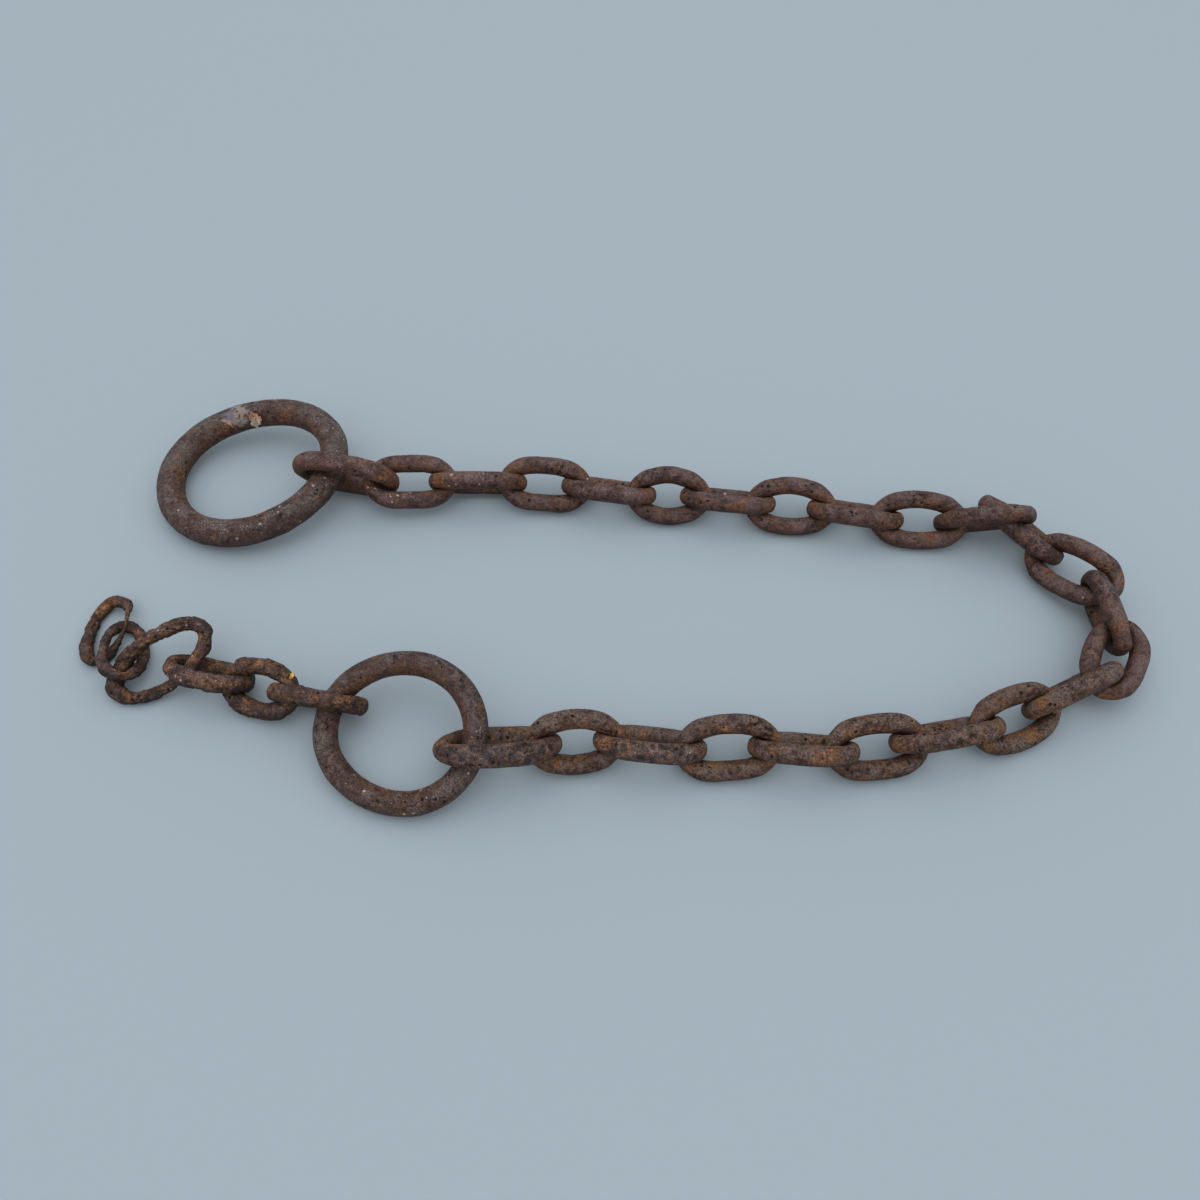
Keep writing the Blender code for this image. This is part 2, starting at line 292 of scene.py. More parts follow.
def centre_line(node):
    """Rows of x, y, z, radius round a looped solid, with its middle and the normal of its loop."""
    corners, triangles = merged(node)
    _, _, axes = np.linalg.svd(corners - corners.mean(0), full_matrices=False)
    along, beside, normal = axes
    middle = corners.mean(0)
    rows = []
    for k in range(SLICES):
        turn = 2 * math.pi * (k + 0.5) / SLICES
        outward = along * math.cos(turn) + beside * math.sin(turn)
        across = beside * math.cos(turn) - along * math.sin(turn)
        area, centre = section(corners, triangles, middle, outward, across, normal)
        rows.append((*(middle + outward * centre[0] + normal * centre[1]), area, *across))
    rows = np.array(rows)
    tangent = np.roll(rows[:, :3], -1, 0) - np.roll(rows[:, :3], 1, 0)
    tangent /= np.linalg.norm(tangent, axis=1)[:, None]
    slant = np.abs((tangent * rows[:, 4:7]).sum(1))
    radius = np.sqrt(rows[:, 3] * slant / math.pi)
    return smoothed(np.column_stack([rows[:, :3], radius]), LINE_SOFTNESS), middle, normal


# ---- the bar as geometry nodes ----------------------------------------------------

BAR_INPUTS = (
    ("Line", "NodeSocketGeometry"),
    ("Stations", "NodeSocketInt"),
    ("Sides", "NodeSocketInt"),
    ("Seed", "NodeSocketVector"),
    ("Middle", "NodeSocketVector"),
    ("Loop normal", "NodeSocketVector"),
    ("Lump height", "NodeSocketFloat"),
    ("Pit depth", "NodeSocketFloat"),
    ("Pitted share", "NodeSocketFloat"),
    ("Flake height", "NodeSocketFloat"),
    ("Grain height", "NodeSocketFloat"),
    ("Chip height", "NodeSocketFloat"),
    ("Scab side", "NodeSocketVector"),
    ("Scab start", "NodeSocketFloat"),
    ("Fleck side", "NodeSocketVector"),
    ("Fleck start", "NodeSocketFloat"),
    ("Crust place", "NodeSocketVector"),
    ("Crust reach", "NodeSocketFloat"),
    ("Material", "NodeSocketMaterial"),
)


def rippled(t, where, reach=RIPPLE_REACH):
    """The place, moved a little to and fro, so that round spots turn ragged."""
    ripple = t.sway(where, RIPPLE_SIZE, 2.0, 0.6)
    return t.vector("ADD", where, t.vector("SCALE", (1.0, -0.7, 0.6), scale=t.times(ripple, 2 * reach)))


def black_dots(t, where):
    """Small pits that stand in clusters."""
    share = t.ramp(t.noise(where, CLUSTER_SIZE, 2.0, 0.5), 0.40, 0.66, 0.02, DOT_SHARE)
    return t.spots(rippled(t, where, DOT_RIPPLE), DOT_SPACING, share, DOT_WIDTH)


def chips(t, where, size):
    """Angular chips: how high each stands, from 0 to 1, and how far a place is from its edge."""
    moved = rippled(t, where)
    inputs = {"Vector": moved, "Scale": 1 / size}
    colour = t.add("ShaderNodeTexVoronoi", inputs, feature="F1").outputs["Color"]
    level = t.add("ShaderNodeSeparateXYZ", {"Vector": colour}).outputs[0]
    return level, t.edges(moved, size)


def named(t, name, kind="FLOAT"):
    """A value that the geometry carries."""
    return t.add("GeometryNodeInputNamedAttribute", {"Name": name}, data_type=kind).outputs["Attribute"]


def store(t, geometry, name, value, kind="FLOAT"):
    """The geometry, carrying a value under a name."""
    inputs = {"Geometry": geometry, "Name": name}
    node = t.add("GeometryNodeStoreNamedAttribute", inputs, data_type=kind, domain="POINT")
    t.put(next(s for s in node.inputs if s.name == "Value" and s.enabled), value)
    return node.outputs[0]


def swept_bar(t, given, position):
    """The line as a bar whose section is a little taller than wide; a worn bow keeps its height."""
    line = t.add("GeometryNodeMeshToCurve", {"Mesh": given["Line"]}).outputs[0]
    line = t.add("GeometryNodeSetSplineCyclic", {"Geometry": line, "Cyclic": True}).outputs[0]
    line = t.add("GeometryNodeResampleCurve", {"Curve": line, "Count": given["Stations"]}).outputs[0]
    line = store(t, line, "core", position, "FLOAT_VECTOR")
    run = t.add("GeometryNodeSplineParameter").outputs["Factor"]
    line = store(t, line, "along", run)
    rim = t.add("GeometryNodeCurvePrimitiveCircle", {"Resolution": given["Sides"], "Radius": 1.0}).outputs[0]
    rim = store(t, rim, "around", run)
    inputs = {"Curve": line, "Profile Curve": rim, "Scale": named(t, "bar")}
    bar = t.add("GeometryNodeCurveToMesh", inputs).outputs[0]
    core = named(t, "core", "FLOAT_VECTOR")
    spoke = t.vector("SUBTRACT", position, core)
    rise = t.vector("DOT_PRODUCT", spoke, given["Loop normal"])
    wide = t.vector("SCALE", spoke, scale=named(t, "wide"))
    extra = t.times(rise, t.minus(named(t, "tall"), named(t, "wide")))
    taller = t.vector("SCALE", given["Loop normal"], scale=extra)
    placed = t.vector("ADD", core, t.vector("ADD", wide, taller))
    return t.add("GeometryNodeSetPosition", {"Geometry": bar, "Position": placed}).outputs[0]


def strands_along(t, given):
    """Noise that is drawn out along the bar, like the strands of wrought iron."""
    angle = t.times(named(t, "around"), 2 * math.pi)
    run = t.times(t.math("PINGPONG", named(t, "along"), 0.5), STRAND_RUN)
    inputs = {"X": t.math("COSINE", angle), "Y": t.math("SINE", angle), "Z": run}
    fibre = t.add("ShaderNodeCombineXYZ", inputs).outputs[0]
    fibre = t.vector("ADD", fibre, t.vector("SCALE", given["Seed"], scale=STRAND_SEED))
    return t.noise(fibre, STRAND_SIZE, 3.0, 0.6)


def relief(t, given, where):
    """How high each place stands, and the marks that its rust follows."""
    flake = given["Flake height"]
    lumps = t.sway(where, LUMP_SIZE, 1.5)
    height = t.times(lumps, given["Lump height"])
    # holes in pitted zones, and stray dots
    zone_edge = t.minus(0.72, t.times(given["Pitted share"], 0.44))
    zone = t.ramp(t.minus(t.noise(where, ZONE_SIZE, 3.0, 0.55), zone_edge), -0.05, 0.06)
    holes = t.times(t.ramp(t.noise(where, HOLE_SIZE, 2.0, 0.45, 0.3), 0.55, 0.63), zone)
    height = t.minus(height, t.times(t.larger(holes, black_dots(t, where)), given["Pit depth"]))
    # flakes in layers, with strands in them
    terraces = t.times(t.noise(where, TERRACE_SIZE, 5.0, 0.6, 0.6), TERRACES)
    ledge = t.math("FRACT", terraces)
    layers = t.times(t.plus(t.math("FLOOR", terraces), t.ramp(ledge, 0.35, 0.65)), 1 / TERRACES)
    height = t.plus(height, t.times(t.minus(layers, 0.5), flake))
    height = t.plus(height, t.times(t.minus(strands_along(t, given), 0.5), t.times(flake, 0.9)))
    # grains, and chips
    height = t.plus(height, t.times(t.sway(where, GRAIN_SIZE, 3.0, 0.6), given["Grain height"]))
    coarse = t.times(given["Grain height"], 1.6)
    height = t.plus(height, t.times(t.sway(where, COARSE_SIZE, 3.0, 0.6), coarse))
    chip = t.times(chips(t, where, CHIP_SIZE)[0], 0.7)
    chip = t.plus(chip, t.times(chips(t, where, SPLINTER_SIZE)[0], 0.3))
    height = t.plus(height, t.times(t.minus(chip, 0.5), given["Chip height"]))
    ledge_line = t.ramp(t.math("ABSOLUTE", t.minus(ledge, 0.42)), 0.16, 0.04)
    ledge_line = t.times(ledge_line, t.ramp(flake, 0.0001, 0.0004))
    return height, {"hole": holes, "ledge": ledge_line, "swell": t.plus(lumps, 0.5)}


def pale_crust(t, given, where, position):
    """Where a pale crust has grown, from 0 to 1."""
    place = t.vector("ADD", given["Middle"], given["Crust place"])
    away = t.vector("LENGTH", t.vector("SUBTRACT", position, place))
    edge = t.times(t.sway(where, PALE_EDGE_SIZE, 4.0, 0.65), PALE_EDGE_REACH)
    return t.ramp(t.minus(t.plus(away, edge), given["Crust reach"]), PALE_SLOPE, -PALE_SLOPE)


def one_sided(t, given, label, outward, where):
    """A mark that lies on one side of a piece, with a ragged edge."""
    ragged = t.times(t.sway(where, MARK_EDGE_SIZE, 3.0, 0.6), 1.2)
    side = t.vector("NORMALIZE", given[label + " side"])
    reach = t.plus(t.vector("DOT_PRODUCT", outward, side), ragged)
    return t.ramp(t.minus(reach, given[label + " start"]), -0.06, 0.12)


def bar_tree():
    """A closed line of points becomes a forged, pitted and flaking bar."""
    group = bpy.data.node_groups.new("forged bar", "GeometryNodeTree")
    for name, kind in BAR_INPUTS:
        group.interface.new_socket(name, in_out="INPUT", socket_type=kind)
    group.interface.new_socket("Bar", in_out="OUTPUT", socket_type="NodeSocketGeometry")
    t = Tree(group)
    given = t.add("NodeGroupInput").outputs
    position = t.add("GeometryNodeInputPosition").outputs[0]
    bar = swept_bar(t, given, position)

    where = t.vector("ADD", position, given["Seed"])
    bar = store(t, bar, "place", where, "FLOAT_VECTOR")
    height, marks = relief(t, given, where)
    grown = pale_crust(t, given, where, position)
    height = t.plus(height, t.times(grown, PALE_HEIGHT))
    normal = t.add("GeometryNodeInputNormal").outputs[0]
    core = named(t, "core", "FLOAT_VECTOR")
    inward = t.vector("NORMALIZE", t.vector("SUBTRACT", given["Middle"], core))
    outward = t.vector("NORMALIZE", t.vector("SUBTRACT", position, given["Middle"]))
    outward = t.vector("ADD", outward, t.vector("SCALE", normal, scale=0.5))
    marks["scab"] = one_sided(t, given, "Scab", outward, where)
    marks["fleck_and_glint"] = one_sided(t, given, "Fleck", outward, where)
    marks["inner"] = t.vector("DOT_PRODUCT", normal, inward)
    marks["grown"] = grown
    for label, value in marks.items():
        bar = store(t, bar, label, value)
    moved = t.vector("SCALE", normal, scale=height)
    bar = t.add("GeometryNodeSetPosition", {"Geometry": bar, "Offset": moved}).outputs[0]

    # nothing reaches below the ground
    parts = t.add("ShaderNodeSeparateXYZ", {"Vector": position}).outputs
    inputs = {"X": parts[0], "Y": parts[1], "Z": t.larger(parts[2], NEAR_GROUND)}
    lifted = t.add("ShaderNodeCombineXYZ", inputs).outputs[0]
    bar = t.add("GeometryNodeSetPosition", {"Geometry": bar, "Position": lifted}).outputs[0]
    bar = t.add("GeometryNodeSetShadeSmooth", {"Geometry": bar, "Shade Smooth": True}).outputs[0]
    bar = t.add("GeometryNodeRealizeInstances", {"Geometry": bar}).outputs[0]
    bar = t.add("GeometryNodeSetMaterial", {"Geometry": bar, "Material": given["Material"]}).outputs[0]
    t.add("NodeGroupOutput", {"Bar": bar})
    return group


def evaluated(name, thing):
    """A plain mesh object from an object whose modifiers have run."""
    graph = bpy.context.evaluated_depsgraph_get()
    mesh = bpy.data.meshes.new_from_object(thing.evaluated_get(graph))
    mesh.name = name
    bpy.data.objects.remove(thing, do_unlink=True)
    made = bpy.data.objects.new(name, mesh)
    bpy.context.scene.collection.objects.link(made)
    return made


def line_object(name, rows):
    """The centre line as an object, with the bar's radius and the shape of its section at each point."""
    count = len(rows)
    mesh = bpy.data.meshes.new(name + "_line")
    edges = [(i, (i + 1) % count) for i in range(count)]
    mesh.from_pydata([tuple(row[:3]) for row in rows], edges, [])
    radius = rows[:, 3]
    if name in RINGS or name in LAST_LINKS:
        tall = wide = np.ones(count)
        bow = np.zeros(count)
    else:
        thick = np.percentile(radius, THICK_PERCENTILE)
        bow = np.clip((thick - radius) / max(thick - radius.min(), 1e-5), 0, 1)
        tall = LIMB_TALL * (1 - bow) + bow * np.maximum(BOW_HALF_HEIGHT / radius, 1.0)
        wide = LIMB_WIDE + (1 - LIMB_WIDE) * bow
    for label, values in (("bar", radius), ("tall", tall), ("wide", wide), ("bow", bow)):
        attribute = mesh.attributes.new(label, "FLOAT", "POINT")
        attribute.data.foreach_set("value", values.astype(np.float32))
    line = bpy.data.objects.new(name + "_line", mesh)
    bpy.context.scene.collection.objects.link(line)
    return line


def forged_bar(name, group, node, finish, seed, material):
    """The detailed bar that stands for one solid."""
    rows, middle, normal = centre_line(node)
    line = line_object(name, rows)
    length = np.linalg.norm(np.diff(np.vstack([rows, rows[:1]])[:, :3], axis=0), axis=1).sum()
    thick = np.percentile(rows[:, 3], THICK_PERCENTILE)
    lump, pit, share, flake, grain, chip = finish
    scabs = SCABS.get(name, NO_SIDE)
    flecks = FLECK_AND_GLINT_SIDES.get(name, NO_SIDE)
    crust = CRUSTS.get(name, NO_CRUST)
    values = {
        "Stations": int(length / STATION_STEP),
        "Sides": int(2 * math.pi * thick / SIDE_STEP),
        "Seed": tuple(seed * step for step in SEED_STEP),
        "Middle": tuple(middle),
        "Loop normal": tuple(normal),
        "Lump height": lump,
        "Pit depth": pit,
        "Pitted share": share,
        "Flake height": flake,
        "Grain height": grain,
        "Chip height": chip,
        "Scab side": scabs[:3],
        "Scab start": scabs[3],
        "Fleck side": flecks[:3],
        "Fleck start": flecks[3],
        "Crust place": crust[:3],
        "Crust reach": crust[3],
        "Material": material,
    }
    modifier = line.modifiers.new("forged bar", "NODES")
    modifier.node_group = group
    for socket in group.interface.items_tree:
        if socket.in_out == "INPUT" and socket.name in values:
            modifier[socket.identifier] = values[socket.name]
    return evaluated(name + "_bar", line)


# ---- materials ----------------------------------------------------------------------

class Rust(Tree):
    """The node tree of one rust, whose colour is laid on step by step.

    The tones are its colours, grit is how speckled it is, and chipped how far rust has split the iron.
    """

    def __init__(self, tree, tones, grit, chipped):
        super().__init__(tree)
        self.tones = tones
        self.grit = grit
        self.chipped = chipped
        self.where = self.carried("place", "Vector")
        self.inner = self.ramp(self.carried("inner"), 0.0, 0.9)
        normal = self.add("ShaderNodeNewGeometry").outputs["Normal"]
        self.facing = self.add("ShaderNodeSeparateXYZ", {"Vector": normal}).outputs[2]
        self.broad = self.noise(self.where, BROAD_SIZE, 3.0, 0.55)
        self.medium = self.noise(self.where, MEDIUM_SIZE, 4.0, 0.6)
        self.small = self.noise(self.where, SMALL_SIZE, 3.0, 0.6)
        self.grains = self.noise(self.where, FINE_SIZE, 2.0, 0.7)

    def carried(self, label, kind="Fac"):
        """A mark that the bar carries from its relief."""
        return self.add("ShaderNodeAttribute", attribute_name=label).outputs[kind]

    def scaled(self, colour, share):
        return self.vector("SCALE", colour, scale=share)

    def crust(self):
        """Red-brown crust, darker in places, and a darker, warmer brown inside the loops: partly warmer rust,
        partly painted shade.
        """
        blotches = self.plus(self.times(self.medium, 0.65), self.times(self.small, 0.35))
        colour = self.mix(self.ramp(blotches, 0.41, 0.56), self.tones["dark"], self.tones["brown"])
        colour = self.mix(self.ramp(self.broad, 0.50, 0.64, 0.0, 0.75), colour, self.tones["tint"])
        # inside the loops: warmer rust and painted shade
        return self.mix(self.times(self.inner, 0.60), colour, self.tones["inside"])

    def orange(self, share):
        """How orange each place is: inside the loops, at their bows and toward the ground."""
        low = self.ramp(self.facing, 0.25, -0.8)
        hollow = self.ramp(self.carried("swell"), 0.50, 0.36)
        damp = self.plus(self.times(self.inner, 0.38), self.times(self.carried("bow"), 0.60))
        damp = self.plus(damp, self.times(low, 0.35))
        damp = self.plus(self.plus(damp, self.times(hollow, 0.35)), 0.10 + 0.35 * self.chipped)
        patches = self.noise(self.where, PATCH_SIZE, 4.0, 0.6, 0.3)
        patches = self.plus(self.times(patches, 0.75), self.times(self.small, 0.25))
        patches = self.ramp(patches, 0.42, 0.59, 0.05, 1.40)
        return self.math("MINIMUM", self.times(self.times(damp, patches), share), 1.0)

    def oranged(self, colour, rusty):
        """Orange rust, with bright spots where it is thick."""
        bright = self.ramp(self.noise(self.where, BRIGHT_SIZE, 3.0, 0.65), 0.54, 0.64)
        bright = self.times(bright, self.ramp(rusty, 0.25, 0.8))
        colour = self.mix(self.times(rusty, 0.9), colour, self.tones["orange"])
        return self.mix(self.times(bright, 0.60), colour, self.tones["bright"])

    def scale_and_painted_glints(self, colour, rusty):
        """Grey scale in soft patches, most of it on top as a painted sheen, and painted glints: pale grey on
        upward-facing grains.
        """
        # the grey scale leans to upward faces: partly real scale, partly a painted sheen
        bare_scale_and_sheen = self.plus(self.times(self.broad, 0.45), self.times(self.medium, 0.55))
        bare_scale_and_sheen = self.plus(bare_scale_and_sheen, self.times(self.facing, 0.10))
        grey_scale_and_sheen = self.times(self.ramp(bare_scale_and_sheen, 0.53, 0.66), self.ramp(rusty, 0.7, 0.2))
        colour = self.mix(self.times(grey_scale_and_sheen, 0.60 * self.grit), colour, self.tones["scale"])
        # painted glints: pale grey on upward-facing grains, most on the fleck side
        glint = self.times(self.ramp(self.grains, 0.54, 0.64), self.ramp(self.medium, 0.50, 0.60))
        share = self.plus(self.times(self.carried("fleck_and_glint"), 0.45), 0.35 * (self.grit - 0.6))
        glint = self.times(self.times(glint, share), self.ramp(self.facing, 0.1, 0.8))
        return self.mix(glint, colour, GLINT)

    def cracks(self):
        """Thin dark cracks in some places."""
        crack = self.math("ABSOLUTE", self.sway(self.where, CRACK_SIZE, 4.0, 0.6, 0.4))
        cracked = self.ramp(self.noise(self.where, CRACK_ZONE_SIZE, 2.0), 0.46, 0.58)
        return self.times(self.ramp(crack, 0.018, 0.005), cracked)

    def split(self, colour, crack):
        """Split iron: high chips keep a black skin, low ones show bright rust, and seams are dark; painted
        light and shade make upward faces lighter and undersides darker.
        """
        level, seam = chips(self, self.where, CHIP_SIZE)
        splinter, slit = chips(self, self.where, SPLINTER_SIZE)
        height = self.plus(self.times(level, 0.6), self.times(splinter, 0.4))
        skin = self.ramp(height, 0.52, 0.70, 0.0, 0.75 * self.chipped)
        fresh = self.ramp(height, 0.36, 0.18, 0.0, 0.85 * self.chipped)
        colour = self.mix(skin, colour, self.tones["dark"])
        colour = self.mix(fresh, colour, self.tones["bright"])
        seams = self.larger(self.ramp(seam, 0.10, 0.03), self.times(self.ramp(slit, 0.08, 0.03), 0.6))
        blotchy = self.ramp(self.medium, 0.38, 0.62, 1 - 0.35 * self.chipped, 1 + 0.35 * self.chipped)
        # painted light and shade: upward faces lighter, undersides darker
        painted_light_and_shade = self.ramp(self.facing, -0.1, 0.9, 1 - 0.80 * self.chipped, 1 + 0.45 * self.chipped)
        colour = self.scaled(self.scaled(colour, blotchy), painted_light_and_shade)
        return colour, self.larger(crack, self.times(seams, self.chipped))

    def scabs(self):
        """Dark islands where the crust is thick, with a net of brown left between them."""
        edges = self.edges(rippled(self, self.where), SCAB_SIZE)
        edges = self.plus(edges, self.times(self.minus(self.small, 0.5), 0.9))
        return self.times(self.ramp(edges, 0.10, 0.26), self.carried("scab"))

    def scabbed(self, colour, scab):
        """The scabs, in a brown that is a little lighter round them."""
        tone = self.mix(self.ramp(self.small, 0.44, 0.62), SCAB_DARK, SCAB_LIGHT)
        colour = self.scaled(colour, self.ramp(self.carried("scab"), 0.2, 1.0, 1.0, 1.12))
        return self.mix(self.times(scab, 0.92), colour, tone)

    def speckled(self, colour):
        """Every grain a little darker or lighter, and pale flecks."""
        speckle = self.plus(self.times(self.grains, 0.7), self.times(self.small, 0.3))
        shade = self.ramp(speckle, 0.42, 0.58, 1.03 - 0.55 * self.grit, 1.03 + 0.57 * self.grit)
        ragged = rippled(self, self.where, FLECK_RIPPLE)
        flecks = self.spots(ragged, FLECK_SPACING, FLECK_SHARE, FLECK_WIDTH)
        flecks = self.times(flecks, self.carried("fleck_and_glint"))
        elsewhere = self.vector("ADD", ragged, STRAY_SEED)
        flecks = self.larger(flecks, self.spots(elsewhere, STRAY_SPACING, STRAY_SHARE, STRAY_WIDTH))
        return self.mix(self.times(flecks, 0.8), self.scaled(colour, shade), FLECK)

    def encrusted(self, colour):
        """The pale crust, lilac and cream."""
        whole = self.ramp(self.noise(self.where, PALE_HOLE_SIZE, 3.0, 0.6), 0.36, 0.46)
        crust = self.times(self.carried("grown"), whole)
        creamy = self.ramp(self.noise(self.where, PALE_TONE_SIZE, 2.0), 0.44, 0.56)
        tone = self.mix(creamy, PALE_LILAC, PALE_CREAM)
        tone = self.mix(self.ramp(self.small, 0.56, 0.66), tone, PALE_WHITE)
        return self.mix(self.times(crust, 0.75), colour, tone)


def rust(name, tones, orange_share, roughness, grit, chipped=0.0):
    """Rust on forged iron: red-brown crust, orange where it is damp, black pits, scabs and seams, with
    painted shade and painted glints.
    """
    material = bpy.data.materials.new(name)
    material.use_nodes = True
    shader = material.node_tree.nodes["Principled BSDF"]
    t = Rust(material.node_tree, tones, grit, chipped)

    rusty = t.orange(orange_share)
    colour = t.scale_and_painted_glints(t.oranged(t.crust(), rusty), rusty)
    # sheltered places get a dark, warm rust: partly warmer rust, partly painted shade
    open_air = t.add("ShaderNodeAmbientOcclusion", {"Distance": SHELTER_REACH}, samples=6).outputs["AO"]
    colour = t.mix(t.ramp(open_air, 0.80, 0.30, 0.0, 0.75), colour, tones["inside"])
    crack = t.cracks()
    if chipped:
        colour, crack = t.split(colour, crack)
    scab = t.scabs()
    colour = t.scabbed(colour, scab)
    # cracks, ledges of flakes and pits are black
    black = t.larger(t.carried("hole"), t.times(t.carried("ledge"), 0.7))
    black = t.larger(black, t.times(crack, 0.75))
    dots = black_dots(t, t.where)
    colour = t.mix(t.times(black, 0.80), colour, tones["pit"])
    colour = t.mix(t.times(dots, 0.95), colour, tones["pit"])
    colour = t.encrusted(t.speckled(colour))
    # painted shade: crannies between the pieces and undersides are darkened, and upward faces made a little
    # lighter as painted light
    colour = t.scaled(colour, t.ramp(open_air, 0.10, 0.65, 0.50, 1.0))
    colour = t.scaled(colour, t.ramp(t.facing, -0.5, 0.6, 0.68, 1.06))
    t.put(shader.inputs["Base Color"], colour)

    pitted = t.larger(dots, black)
    dull = t.ramp(t.grains, 0.3, 0.7, roughness + 0.08, roughness - 0.08)
    dull = t.plus(t.plus(dull, t.times(rusty, 0.18)), t.times(pitted, 0.25))
    t.put(shader.inputs["Roughness"], t.minus(dull, t.times(scab, 0.15)))
    shader.inputs["Specular IOR Level"].default_value = RUST_SPECULAR
    height = t.plus(t.plus(t.times(t.grains, 0.25), t.times(t.small, 0.75)), t.times(t.medium, 0.70))
    height = t.plus(t.minus(height, t.times(pitted, 0.5)), t.times(scab, 0.35))
    bump = t.add("ShaderNodeBump", {"Height": height, "Strength": 1.0, "Distance": BUMP_DEPTH})
    t.put(shader.inputs["Normal"], bump.outputs[0])
    return material


def ground_material():
    """Plain pale ground."""
    material = bpy.data.materials.new("pale_ground")
    material.use_nodes = True
    shader = material.node_tree.nodes["Principled BSDF"]
    shader.inputs["Base Color"].default_value = (*GROUND_COLOUR, 1.0)
    shader.inputs["Roughness"].default_value = 0.95
    shader.inputs["Specular IOR Level"].default_value = 0.1
    return material


# ---- the chain -------------------------------------------------------------------------

UPPER_TONES = {
    "dark": (0.034, 0.015, 0.012),
    "brown": (0.076, 0.034, 0.026),
    "tint": (0.098, 0.038, 0.026),
    # inside: dark warm rust inside the loops and in sheltered places, partly painted shade
    "inside": (0.052, 0.021, 0.011),
    # scale: grey scale, laid more on upward faces as a painted sheen
    "scale": (0.092, 0.073, 0.074),
    "orange": (0.160, 0.058, 0.019),
    "bright": (0.280, 0.115, 0.036),
    "pit": (0.005, 0.003, 0.003),
}
LOWER_TONES = {
    **UPPER_TONES,
    "brown": (0.086, 0.044, 0.030),
    "tint": (0.104, 0.055, 0.034),
    "scale": (0.090, 0.068, 0.062),
    "orange": (0.150, 0.065, 0.025),
    "bright": (0.230, 0.105, 0.038),
}
RING_TONES = {
    **UPPER_TONES,
    "brown": (0.064, 0.033, 0.027),
    "tint": (0.066, 0.049, 0.035),
    "scale": (0.074, 0.059, 0.057),
    "orange": (0.130, 0.053, 0.023),
}
TAIL_TONES = {
    **UPPER_TONES,
    "dark": (0.016, 0.008, 0.008),
    "brown": (0.064, 0.030, 0.022),
    "scale": (0.074, 0.050, 0.048),
    "orange": (0.140, 0.058, 0.020),
    "bright": (0.200, 0.092, 0.036),
}
link_rust = rust("link_rust", UPPER_TONES, orange_share=0.80, roughness=0.52, grit=0.70)
lower_rust = rust("lower_rust", LOWER_TONES, orange_share=1.05, roughness=0.58, grit=0.85)
ring_rust = rust("ring_rust", RING_TONES, orange_share=0.70, roughness=0.54, grit=0.85)
tail_rust = rust("tail_rust", TAIL_TONES, orange_share=0.95, roughness=0.54, grit=0.85, chipped=0.5)

# lump height, pit depth, pitted share, flake height, grain height, chip height
PLAIN_FINISH = (0.0006, 0.00035, 0.12, 0.00006, 0.00010, 0.0)
LOWER_FINISH = (0.0007, 0.00045, 0.35, 0.00010, 0.00014, 0.0)
TAIL_FINISH = (0.0013, 0.00060, 0.30, 0.00045, 0.00020, 0.0012)
RING_FINISH = (0.0007, 0.00030, 0.25, 0.00008, 0.00012, 0.0)
# where dark scabs and pale flecks lie, and where painted glints gather: the side (x, y, z), and how directly
# a place must face it
SCABS = {
    "ring_small": (0.85, 0.52, 0.0, 0.75),
    "link_12": (0.6, -0.7, 0.4, 0.75),
    "link_14": (0.0, 0.5, 0.5, 0.80),
    "link_22": (0.0, -0.8, 0.6, 0.80),
    "link_24": (0.2, -0.9, 0.4, 0.30),
}
FLECK_AND_GLINT_SIDES = {
    "ring_large": (0.5, -0.85, 0.2, 0.1),
    "ring_small": (0.0, -0.9, 0.3, 0.5),
    "link_01": (0.0, 0.0, 1.0, 0.3),
    "link_02": (-0.6, -0.7, 0.3, 0.5),
    "link_03": (-0.2, -0.4, 0.8, 0.75),
    "link_05": (-0.6, 0.0, 0.6, 0.0),
    "link_22": (0.0, 0.0, 1.0, 0.3),
    "link_27": (-0.3, -0.6, 0.7, 0.5),
    "link_28": (0.6, 0.0, 0.6, 0.0),
}
NO_SIDE = (0.0, 0.0, 1.0, 1.5)
# where a pale crust has grown, from the middle of the piece, and how far it reaches
CRUSTS = {"ring_large": (-0.0128, 0.0335, 0.0070, 0.0068)}
NO_CRUST = (0.0, 0.0, 0.0, -1.0)


def finish_of(name):
    """The relief and the rust of a piece, and a slot name for that rust."""
    if name in RINGS:
        return RING_FINISH, ring_rust, "ring_rust"
    if name in TAIL:
        return TAIL_FINISH, tail_rust, "flaky_rust"
    if name >= FIRST_LOWER_LINK:
        return LOWER_FINISH, lower_rust, "link_rust"
    return PLAIN_FINISH, link_rust, "link_rust"


bar_group = bar_tree()
for seed, name in enumerate(sorted(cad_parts)):
    finish, material, slot = finish_of(name)
    bar = forged_bar(name, bar_group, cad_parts[name], finish, seed, material)
    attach(bar, "root")
    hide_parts(name)

# ---- what clings to the chain -----------------------------------------------------------

def scrap_material(name, upper, lower, size):
    """A dry scrap that goes from one colour at its foot to another at its head."""
    material = bpy.data.materials.new(name)
    material.use_nodes = True
    t = Tree(material.node_tree)
    shader = material.node_tree.nodes["Principled BSDF"]
    where = t.add("ShaderNodeTexCoord").outputs["Object"]
    climb = t.add("ShaderNodeAttribute", attribute_name="climb").outputs["Fac"]
    climb = t.plus(climb, t.times(t.sway(where, size / 3, 3.0, 0.6), 1.2))
    colour = t.mix(t.ramp(climb, 0.42, 0.62), lower, upper)
    fibre = t.noise(where, size / 8, 3.0, 0.6)
    t.put(shader.inputs["Base Color"], t.vector("SCALE", colour, scale=t.ramp(fibre, 0.35, 0.65, 0.55, 1.25)))
    shader.inputs["Roughness"].default_value = 0.8
    shader.inputs["Specular IOR Level"].default_value = 0.3
    bump = t.add("ShaderNodeBump", {"Height": fibre, "Strength": 0.6, "Distance": size / 12})
    t.put(shader.inputs["Normal"], bump.outputs[0])
    return material


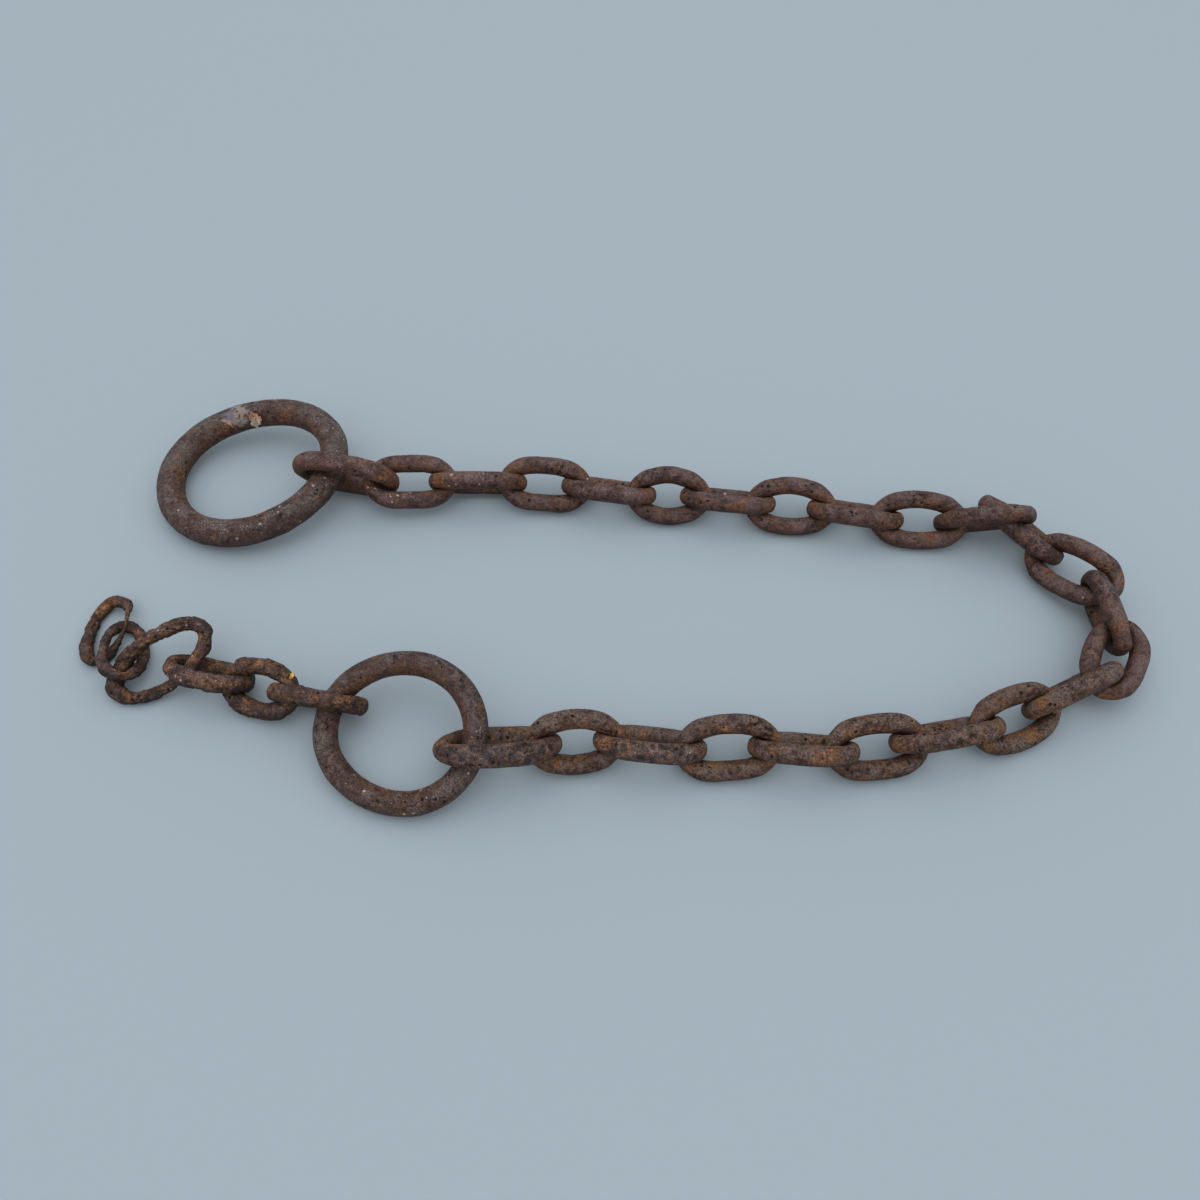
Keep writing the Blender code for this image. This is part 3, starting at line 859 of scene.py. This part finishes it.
def ragged_sheet(rings, spokes, curl):
    """Points (u, v, bulge) of a ragged round sheet of radius 1, and its faces."""
    points = [(0.0, 0.0, 0.0)]
    for ring in range(1, rings + 1):
        for spoke in range(spokes):
            turn = 2 * math.pi * spoke / spokes
            ragged = 1 + 0.16 * math.sin(3 * turn + 1.0) + 0.12 * math.sin(7 * turn)
            ragged += 0.07 * math.sin(12 * turn + 2.0)
            u = ring / rings * ragged * math.cos(turn)
            v = ring / rings * ragged * math.sin(turn)
            bulge = curl * (u * u - 0.6 * v * v + 0.35 * math.sin(3 * u + 2 * v))
            points.append((u, v, bulge))
    faces = [(0, 1 + k, 1 + (k + 1) % spokes) for k in range(spokes)]
    for ring in range(rings - 1):
        first = 1 + ring * spokes
        second = first + spokes
        for k in range(spokes):
            after = (k + 1) % spokes
            faces.append((first + k, second + k, second + after, first + after))
    return points, faces


def scrap(name, node, share, across, up, size, curl, material):
    """A small ragged sheet that clings to a piece, at a share of the way through its box."""
    low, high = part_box(node)
    middle = Vector([a + (b - a) * s for a, b, s in zip(low, high, share)])
    across = Vector(across).normalized()
    up = Vector(up).normalized()
    out = across.cross(up)
    width, height = size
    points, faces = ragged_sheet(SCRAP_RINGS, SCRAP_SPOKES, curl)
    mesh = bpy.data.meshes.new(name)
    corners = []
    for u, v, bulge in points:
        offset = across * u * width + up * v * height + out * bulge * width
        corners.append(tuple(middle + offset / 2))
    mesh.from_pydata(corners, [], faces)
    climb = mesh.attributes.new("climb", "FLOAT", "POINT")
    climb.data.foreach_set("value", [0.5 + v / 2 for _, v, _ in points])
    mesh.materials.append(material)
    sheet = bpy.data.objects.new(name + "_sheet", mesh)
    bpy.context.scene.collection.objects.link(sheet)
    wall = sheet.modifiers.new("wall", "SOLIDIFY")
    wall.thickness = SCRAP_WALL
    wall.offset = 0.0
    piece = evaluated(name, sheet)
    for face in piece.data.polygons:
        face.use_smooth = True
    return piece


dry_leaf = scrap_material("dry_leaf", (0.300, 0.150, 0.085), (0.480, 0.400, 0.310), 0.006)
yellow_petal = scrap_material("yellow_petal", (0.750, 0.520, 0.060), (0.560, 0.330, 0.050), 0.002)
curled_scrap = scrap("curled_scrap", "ring_large", share=(0.475, 0.836, 0.72),
                     across=(1.0, 0.1, -0.15), up=(-0.1, 0.62, 0.78),
                     size=(0.0058, 0.0080), curl=0.9, material=dry_leaf)
yellow_scrap = scrap("yellow_scrap", "link_26", share=(0.906, 0.530, 0.925),
                     across=(1.0, -0.5, -0.5), up=(0.4, 1.0, 0.3),
                     size=(0.0016, 0.0030), curl=0.5, material=yellow_petal)
for piece, slot in ((curled_scrap, "ring_rust"), (yellow_scrap, "flaky_rust")):
    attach(piece, "root")

# ---- ground, light and camera -------------------------------------------------------------

ground_mesh = bpy.data.meshes.new("ground")
half = GROUND_SIZE / 2
corners = [(-half, -half, 0), (half, -half, 0), (half, half, 0), (-half, half, 0)]
ground_mesh.from_pydata(corners, [], [(0, 1, 2, 3)])
ground_mesh.materials.append(ground_material())
ground = bpy.data.objects.new("ground", ground_mesh)
bpy.context.scene.collection.objects.link(ground)

world = bpy.data.worlds.new("soft sky")
bpy.context.scene.world = world
world.use_nodes = True
sky = Tree(world.node_tree)
direction = sky.add("ShaderNodeTexCoord").outputs["Generated"]
up = sky.add("ShaderNodeSeparateXYZ", {"Vector": direction}).outputs[2]
sky_light = sky.add("ShaderNodeMapRange", {"Value": up, "To Min": SKY_AT_HORIZON, "To Max": SKY_OVERHEAD})
background = world.node_tree.nodes["Background"]
background.inputs["Color"].default_value = SKY_COLOUR
sky.put(background.inputs["Strength"], sky_light.outputs[0])


def soft_box(name, place, size, power):
    """A large square lamp that looks at the chain."""
    lamp = bpy.data.lights.new(name, "AREA")
    lamp.size = size
    lamp.energy = power
    holder = bpy.data.objects.new(name, lamp)
    holder.location = place
    holder.rotation_euler = (-Vector(place)).to_track_quat("-Z", "Y").to_euler()
    bpy.context.scene.collection.objects.link(holder)


soft_box("top_light", LAMP_PLACE, LAMP_SIZE, LAMP_POWER)

lens = bpy.data.cameras.new("camera")
lens.lens = CAMERA_LENS
lens.sensor_width = CAMERA_SENSOR
lens.clip_start = CAMERA_NEAR
camera = bpy.data.objects.new("camera", lens)
camera.location = CAMERA_PLACE
camera.rotation_euler = (math.radians(90 - CAMERA_DOWN), 0.0, 0.0)
bpy.context.scene.collection.objects.link(camera)
bpy.context.scene.camera = camera
bpy.context.scene.view_settings.view_transform = "Standard"
